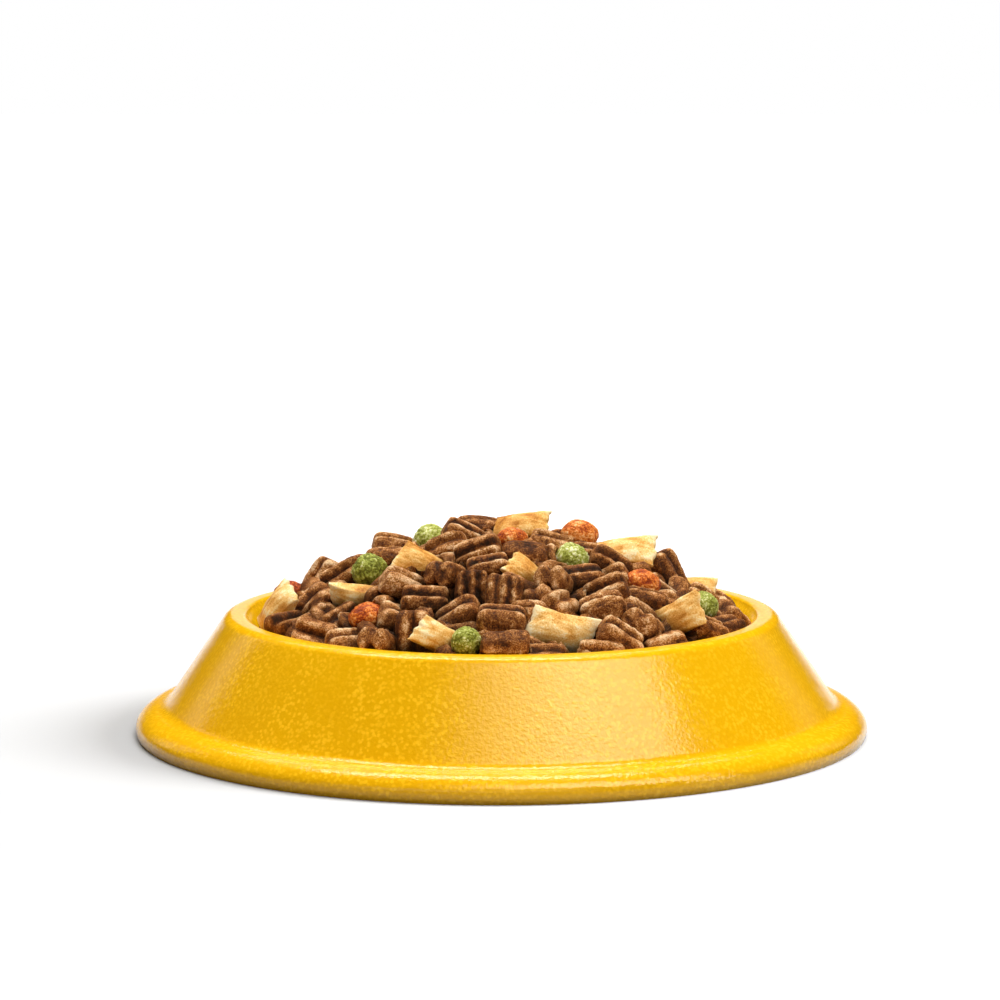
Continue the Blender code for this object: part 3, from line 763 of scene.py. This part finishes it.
def own_character(chance):
    """What sets one piece of kibble off from the next."""
    return {
        "phase": chance.uniform(0, 40),
        "groove": chance.uniform(0.85, 1.6),
        "groove_shift": chance.uniform(-0.16, 0.16),
        "groove_wave": chance.uniform(0.0, 0.09),
        "taper": chance.uniform(-0.09, 0.09),
        "bend": chance.uniform(-0.5, 0.5) * MM,
        "shear": chance.uniform(-0.10, 0.10),
        "end_power": chance.uniform(3.6, 6.5),
        "tint": chance.random(),
    }


def with_character(place, size, own):
    """Tapers, bends and shears a place of a bar a little."""
    share = 2 * place.x / size.x
    thin = 1 + own["taper"] * share
    return Vector((place.x + own["shear"] * place.y,
                   place.y * thin,
                   place.z * thin + own["bend"] * (0.4 - share ** 2)))


def grain(spot, wave):
    """Noise from -1 to 1 with waves of a length in mm."""
    return noise.noise(spot / wave)


def brown_relief(spot):
    """Lumps, grain and scattered pits of baked dough, in mm."""
    distances = noise.voronoi(spot / 1.9)[0]
    pit = max(0.0, 1 - distances[0] / 0.33) * (1.0 if grain(spot, 2.7) > 0.05 else 0.25)
    return (0.20 * grain(spot, 3.4) + 0.15 * grain(spot, 1.5) + 0.12 * grain(spot, 0.8)
            - 0.30 * pit)


def green_relief(spot):
    """Crumbs that lie close together, with dark pores between them, in mm."""
    distances = noise.voronoi(spot / 1.25)[0]
    crumb = min(1.0, (distances[1] - distances[0]) / 0.42)
    return 0.30 * crumb - 0.2 + 0.2 * grain(spot, 2.6) + 0.16 * grain(spot, 0.9)


def orange_relief(spot):
    """Softer lumps than the green ones, in mm."""
    distances = noise.voronoi(spot / 1.5)[0]
    crumb = min(1.0, (distances[1] - distances[0]) / 0.55)
    return 0.20 * crumb - 0.13 + 0.22 * grain(spot, 3.0) + 0.14 * grain(spot, 0.9)


def yellow_relief(spot):
    """Drawn-out wrinkles along the pillow and shallow dimples, in mm."""
    streak = noise.noise(Vector((spot.x / 7, spot.y / 0.95, spot.z / 1.4)))
    fan = noise.noise(Vector((spot.x / 2.6, spot.y / 1.3, spot.z / 2)))
    return 0.2 * streak + 0.14 * fan + 0.26 * grain(spot, 4.2) + 0.05 * grain(spot, 0.9)


RELIEFS = {
    "bar": brown_relief,
    "triple": brown_relief,
    "ball": green_relief,
    "nugget": orange_relief,
    "pillow": yellow_relief,
}
RELIEF_RANGE = {"bar": 0.5, "triple": 0.5, "ball": 0.42, "nugget": 0.4, "pillow": 0.4}


def painted_groove_light(kind, place):
    """A bar's painted light: a painted highlight on its lobes and painted shade in its grooves.
    """
    if kind not in LOBES:
        return 0
    size = SIZES[kind]
    across = max(-1.0, min(1.0, 2 * place.y / size.y))
    wave = abs(math.sin(math.pi * LOBES[kind] * (across + 1) / 2))
    broad = min(1.0, abs(place.z) * 2.4 / size.z)
    groove = GROOVE_PAINTED_SHADE * (1 - wave) ** 2 * (1 - across ** 6)
    return (LOBE_PAINTED_HIGHLIGHT * wave ** 4 - groove) * broad


def pillow_edge(kind, place):
    """How near a pillow's pressed edge a place lies, from 0 to 1."""
    if kind != "pillow":
        return 0
    return abs(2 * place.x / SIZES[kind].x) ** 4


def kibble_parts(kind, own, cuts, ball):
    """A kibble's grid with its relief, in its own coordinates."""
    if kind in cuts:
        grid = cuboid(cuts[kind])
    else:
        grid = bmesh.new()
        bmesh.ops.create_icosphere(grid, subdivisions=ball, radius=1)
    size = SIZES[kind]
    for vertex in grid.verts:
        place = kibble_form(kind, vertex.co.copy(), own)
        if kind in LOBES:
            place = with_character(place, size, own)
        vertex.co = place
    grid.normal_update()
    origin = Vector((own["phase"], -own["phase"], 2 * own["phase"]))
    spots = []
    levels = []
    moved = []
    for vertex in grid.verts:
        spot = vertex.co / MM + origin
        height = RELIEFS[kind](spot)
        # The colour level: paler where a place stands out and darker where it lies in, as
        # painted light and shade, then the bars' painted highlight and groove shade and the
        # pillows' paler pressed ends
        level = height / RELIEF_RANGE[kind]
        level += painted_groove_light(kind, vertex.co)
        level += END_PALE * pillow_edge(kind, vertex.co)
        spots.append(spot)
        levels.append(level)
        moved.append(vertex.co + vertex.normal * height * MM)
    for vertex, place in zip(grid.verts, moved):
        vertex.co = place
    return grid, spots, levels


def depth_in_heap(place):
    """How deep a place lies under the heap's smooth form, in mm."""
    return (heap_height(math.hypot(place.x, place.y)) - place.z) / MM


def finish_mesh(name, corners, faces, spots, levels, tints, depths):
    """A smooth mesh with the attributes that the dough materials read."""
    mesh = bpy.data.meshes.new(name)
    mesh.from_pydata(corners, [], faces)
    form = mesh.attributes.new("form", "FLOAT_VECTOR", "POINT")
    form.data.foreach_set("vector", [value for spot in spots for value in spot])
    mesh.attributes.new("relief", "FLOAT", "POINT").data.foreach_set("value", levels)
    mesh.attributes.new("tint", "FLOAT", "POINT").data.foreach_set("value", tints)
    mesh.attributes.new("depth", "FLOAT", "POINT").data.foreach_set("value", depths)
    mesh.shade_smooth()
    return mesh


def join_kibble(name, items, cuts, ball, home=None, tree=None):
    """Several kibbles in one mesh. Each item is a kind, a character and a matrix.

    The home takes the whole mesh to its place in the heap. The tree holds the
    kibble that they have to keep clear of.
    """
    home = home or Matrix.Identity(4)
    corners = []
    faces = []
    spots = []
    levels = []
    tints = []
    depths = []
    for kind, own, matrix in items:
        grid, own_spots, own_levels = kibble_parts(kind, own, cuts, ball)
        base = len(corners)
        placed = [matrix @ vertex.co for vertex in grid.verts]
        if tree is not None:
            placed = cut_back(placed, matrix.translation, tree)
        corners += placed
        depths += [depth_in_heap(home @ corner) for corner in placed]
        grid.verts.index_update()
        faces += [tuple(base + vertex.index for vertex in face.verts) for face in grid.faces]
        spots += own_spots
        levels += own_levels
        tints += [own["tint"]] * len(own_levels)
        grid.free()
    return finish_mesh(name, corners, faces, spots, levels, tints, depths)


# Where the kibble lies

def heap_height(radius):
    """Height of the heap's smooth form above the table."""
    share = min(radius / RIM_INNER_RADIUS, 1)
    return BOWL_HEIGHT + HEAP_CROWN * (1 - share ** HEAP_FALL)


def pose(row, depth):
    """Where a row puts its kibble, with its middle at a depth in the heap."""
    across, back, turn, rise, roll, size, lift = row[1:]
    x = across / 100 * RIM_INNER_RADIUS
    y = back / 100 * RIM_INNER_RADIUS
    angles = Euler((math.radians(roll), math.radians(-rise), 0), "XYZ").to_matrix()
    spin = Matrix.Rotation(math.radians(turn), 3, "Z")
    z = heap_height(math.hypot(x, y)) - depth + lift * MM
    return Matrix.Translation((x, y, z)) @ (spin @ angles * size).to_4x4()


def spiral(spacing, edge):
    """Places of an even spiral over the heap, in shares of its radius."""
    golden = math.pi * (3 - math.sqrt(5))
    count = round((RIM_INNER_RADIUS / spacing) ** 2 * math.pi)
    places = []
    for index in range(count):
        share = edge * math.sqrt((index + 0.5) / count)
        places.append((share * math.cos(golden * index), share * math.sin(golden * index)))
    return places


def fused_rows():
    """The bed's kibble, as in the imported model."""
    chance = random.Random(SEED)
    rows = list(FUSED)
    taken = [(row[1] / 100, row[2] / 100) for row in LOOSE + FUSED]
    for across, back in spiral(FUSED_SPACING, FUSED_EDGE):
        kind = chance.choice(SPIRAL_KINDS)
        turn = chance.uniform(0, 180)
        rise = chance.gauss(0, 22)
        roll = chance.uniform(-40, 40)
        lift = chance.uniform(-0.8, 0.2)
        nearest = min(math.hypot(across - x, back - y) for x, y in taken)
        if nearest > LOOSE_ROOM:
            rows.append((kind, across * 100, back * 100, turn, rise, roll, 1, lift))
    return rows


def deep_rows(chance):
    """A lower layer of bars that shows only in the gaps."""
    rows = []
    for across, back in spiral(DEEP_SPACING, DEEP_EDGE):
        turn = chance.uniform(0, 180)
        rise = chance.uniform(-35, 35)
        roll = chance.uniform(-60, 60)
        rows.append(("bar", across * 100, back * 100, turn, rise, roll, 1, 0))
    return rows


def box_middle(places):
    """Middle of the box round some places."""
    low = Vector([min(place[axis] for place in places) for axis in range(3)])
    high = Vector([max(place[axis] for place in places) for axis in range(3)])
    return (low + high) / 2


def cut_back(corners, centre, tree):
    """A kibble's corners, drawn in to its centre where other kibble is in their way."""
    for _ in range(CENTRE_TRIES):
        nearest, normal = tree.find_nearest(centre)[:2]
        if (centre - nearest).dot(normal) > 0:
            break
        centre = centre - Vector((0, 0, CENTRE_STEP))
    free = []
    for corner in corners:
        way = corner - centre
        reach = way.length
        distance = tree.ray_cast(centre, way, reach + GAP)[3]
        if distance is not None:
            corner = centre + way * max(distance - GAP, 0) / reach
        free.append(corner)
    return free


def add_loose(materials):
    """A crumbly kibble in the place of each loose one, and a search tree over all."""
    corners = []
    faces = []
    order = sorted(LOOSE, key=lambda row: pose(row, LOOSE_DEPTH).translation.z)
    chance = random.Random(SEED + 1)
    counts = {}
    for row in order:
        kind = row[0]
        counts[kind] = counts.get(kind, 0) + 1
        node = f"{NODE_NAMES[kind]}_{counts[kind]:02d}"
        own = own_character(chance)
        turn = pose(row, LOOSE_DEPTH).to_3x3().to_4x4()
        low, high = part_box(node)
        home = Matrix.Translation((low + high) / 2) @ turn
        mesh = join_kibble(node, [(kind, own, Matrix.Identity(4))], LOOSE_CUTS, LOOSE_BALL, home)
        shift = (low + high) / 2 - box_middle([turn @ vertex.co for vertex in mesh.vertices])
        mesh.transform(Matrix.Translation(shift) @ turn)
        place_piece(f"{node}_baked", mesh, materials[kind], [node])
        base = len(corners)
        corners += [vertex.co.copy() for vertex in mesh.vertices]
        faces += [tuple(base + i for i in face.vertices) for face in mesh.polygons]
    return BVHTree.FromPolygons(corners, faces)


def add_bed(materials, loose):
    """The bed's kibble by kind, the lower layer and the core under it."""
    chance = random.Random(SEED + 2)
    groups = {}
    for row in fused_rows():
        item = (row[0], own_character(chance), pose(row, FUSED_DEPTH))
        groups.setdefault(row[0], []).append(item)
    for kind, items in groups.items():
        name = f"bed_{NODE_NAMES[kind]}s"
        mesh = join_kibble(name, items, BED_CUTS, BED_BALL, tree=loose)
        place_piece(name, mesh, materials[kind], ["kibble_bed"])
    deep = []
    for row in deep_rows(chance):
        deep.append((row[0], own_character(chance), pose(row, DEEP_DEPTH)))
    mesh = join_kibble("bed_lower_bars", deep, DEEP_CUTS, BED_BALL, tree=loose)
    place_piece("bed_lower_bars", mesh, materials["bar"], ["kibble_bed"])


def add_core(materials):
    """The filling under the kibble, painted dark as shade."""
    edge_height = BOWL_HEIGHT - BED_EDGE_DROP
    sides = basin_profile(GAP, edge_height)
    edge = sides[0][0]
    dome = []
    for index in range(CORE_RINGS):
        radius = edge * CORE_REACH * index / (CORE_RINGS - 1)
        dome.append((radius, heap_height(radius) - BED_DEPTH - CORE_SINK))
    solid = turned("bed_core", split_long(dome + sides, CORE_RUN), CORE_STEPS)
    spots = []
    levels = []
    for vertex in solid.vertices:
        spot = vertex.co / MM
        height = brown_relief(spot)
        spots.append(spot)
        levels.append(height - CORE_PAINTED_SHADE)
    faces = [tuple(face.vertices) for face in solid.polygons]
    corners = [vertex.co.copy() for vertex in solid.vertices]
    depths = [depth_in_heap(corner) for corner in corners]
    tints = [CORE_TINT] * len(levels)
    mesh = finish_mesh("bed_core", corners, faces, spots, levels, tints, depths)
    place_piece("bed_core", mesh, materials["bar"], ["kibble_bed"])


def add_bowl():
    """The turned shell."""
    solid = turned("bowl_shell", split_long(bowl_profile(), BOWL_RUN), BOWL_STEPS)
    place_piece("bowl_shell", solid, plastic_material(), ["bowl"])


# The studio

def seen_ray(tree):
    """1 for a ray that shows the background, straight or in a reflection."""
    path = make(tree, "ShaderNodeLightPath").outputs
    seen = maths(tree, "MAXIMUM", path["Is Camera Ray"], path["Is Glossy Ray"])
    return maths(tree, "MAXIMUM", seen, path["Is Transmission Ray"])


def add_world():
    """A white horizon under a dim ceiling, and a soft even light on the object."""
    world = bpy.data.worlds.new("studio")
    bpy.context.scene.world = world
    world.use_nodes = True
    tree = world.node_tree
    tree.nodes.clear()
    way = make(tree, "ShaderNodeTexCoord").outputs["Generated"]
    height = make(tree, "ShaderNodeSeparateXYZ", {0: way}).outputs["Z"]
    level = remap(tree, height, HORIZON, CEILING_START, 1.0, CEILING_LEVEL)
    light = make(tree, "ShaderNodeBackground", {"Color": (1, 1, 1, 1), "Strength": AMBIENT})
    white = make(tree, "ShaderNodeBackground", {"Color": (1, 1, 1, 1), "Strength": level})
    inputs = {0: seen_ray(tree), 1: light.outputs[0], 2: white.outputs[0]}
    shown = make(tree, "ShaderNodeMixShader", inputs)
    make(tree, "ShaderNodeOutputWorld", {"Surface": shown.outputs[0]})


def add_floor():
    """A pale floor that fades into the white background."""
    mesh = bpy.data.meshes.new("floor")
    grid = bmesh.new()
    bmesh.ops.create_grid(grid, x_segments=1, y_segments=1, size=FLOOR_REACH)
    grid.to_mesh(mesh)
    grid.free()
    floor = bpy.data.objects.new("floor", mesh)
    bpy.context.scene.collection.objects.link(floor)
    material = bpy.data.materials.new("pale_floor")
    material.use_nodes = True
    tree = material.node_tree
    tree.nodes.clear()
    place = make(tree, "ShaderNodeTexCoord").outputs["Object"]
    away = make(tree, "ShaderNodeVectorMath", {0: place}, operation="LENGTH").outputs["Value"]
    glow = remap(tree, away, GLOW_START, GLOW_END)
    lit = make(tree, "ShaderNodeBsdfDiffuse", {"Color": (*[FLOOR_SHADE] * 3, 1)})
    shine = make(tree, "ShaderNodeEmission", {"Strength": glow})
    shown = make(tree, "ShaderNodeAddShader", {0: lit.outputs[0], 1: shine.outputs[0]})
    # Close round the foot the floor throws back almost no light: painted shade under the lip
    bounce = remap(tree, away, BOUNCE_START, BOUNCE_END, PAINTED_SHADE_UNDER_FOOT, FLOOR_BOUNCE)
    grey = make(tree, "ShaderNodeBsdfDiffuse", {"Color": bounce})
    inputs = {0: seen_ray(tree), 1: grey.outputs[0], 2: shown.outputs[0]}
    surface = make(tree, "ShaderNodeMixShader", inputs)
    make(tree, "ShaderNodeOutputMaterial", {"Surface": surface.outputs[0]})
    mesh.materials.append(material)
    return floor


def add_softbox(name, towards, along, width, height, radiance, levels=None, colour=(1, 1, 1)):
    """A softbox in a direction from the bowl, with its long side along another.

    The width and height are in degrees. The levels are its brightness at
    places along its long side, each a share of the radiance.
    """
    out = Vector(towards).normalized()
    side = Vector(along)
    side = (side - out * side.dot(out)).normalized()
    up = out.cross(side)
    light = bpy.data.lights.new(name, "AREA")
    light.shape = "RECTANGLE"
    light.size = 2 * SOFTBOX_DISTANCE * math.tan(math.radians(width / 2))
    light.size_y = 2 * SOFTBOX_DISTANCE * math.tan(math.radians(height / 2))
    light.energy = LAMP_SCALE * radiance * light.size * light.size_y
    light.color = colour
    lamp = bpy.data.objects.new(name, light)
    bpy.context.scene.collection.objects.link(lamp)
    turn = Matrix((side, up, out)).transposed().to_4x4()
    lamp.matrix_world = Matrix.Translation(TARGET + out * SOFTBOX_DISTANCE) @ turn
    lamp.visible_camera = False
    if levels:
        light.use_nodes = True
        tree = light.node_tree
        across = make(tree, "ShaderNodeNewGeometry").outputs["Parametric"]
        place = make(tree, "ShaderNodeSeparateXYZ", {0: across}).outputs["X"]
        stops = [(spot, (level, level, level)) for spot, level in levels]
        tree.links.new(ramp(tree, place, stops), tree.nodes["Emission"].inputs["Color"])
    return lamp


def keep_to(lamp, things):
    """Lets a lamp light only the things."""
    lit = bpy.data.collections.new(f"lit_by_{lamp.name}")
    for thing in things:
        lit.objects.link(thing)
    lamp.light_linking.receiver_collection = lit


def add_flag(name, towards):
    """A black card that stands behind the bowl and gives its sides dark edges.

    It shows only in reflections.
    """
    out = Vector((towards[0], towards[1], 0)).normalized()
    side = out.cross(Vector((0, 0, 1)))
    half = FLAG_DISTANCE * math.tan(FLAG_WIDTH / 2)
    foot = out * FLAG_DISTANCE
    top = foot + Vector((0, 0, FLAG_HEIGHT))
    corners = [foot - side * half, foot + side * half, top + side * half, top - side * half]
    mesh = bpy.data.meshes.new(name)
    mesh.from_pydata(corners, [], [(0, 1, 2, 3)])
    material, tree, shader = new_material(name)
    shader.inputs["Base Color"].default_value = (*[FLAG_SHADE] * 3, 1)
    shader.inputs["Roughness"].default_value = 1
    mesh.materials.append(material)
    flag = bpy.data.objects.new(name, mesh)
    bpy.context.scene.collection.objects.link(flag)
    flag.visible_camera = False
    flag.visible_diffuse = False
    flag.visible_shadow = False


def add_camera():
    """A long lens, far in front of the bowl and a little above it."""
    camera = bpy.data.cameras.new("camera")
    camera.lens = CAMERA_LENS
    camera.clip_end = CAMERA_REACH
    view = bpy.data.objects.new("camera", camera)
    view.location = CAMERA_PLACE
    view.rotation_euler = (math.pi / 2 - CAMERA_DIP, 0, 0)
    bpy.context.scene.collection.objects.link(view)
    bpy.context.scene.camera = view


add_camera()
add_world()
stage_floor = add_floor()
lamps = {}
for lamp_name, lamp_settings in SOFTBOXES.items():
    lamps[lamp_name] = add_softbox(lamp_name, *lamp_settings)
# The lamp behind the heap shows in no reflection, and one lamp lights the
# floor alone
lamps["top_back"].visible_glossy = False
keep_to(lamps["floor_light"], [stage_floor])
for flag_name, flag_direction in FLAGS.items():
    add_flag(flag_name, flag_direction)

add_bowl()
crumbs = kibble_materials()
add_bed(crumbs, add_loose(crumbs))
add_core(crumbs)

bpy.context.scene.view_settings.view_transform = "Standard"
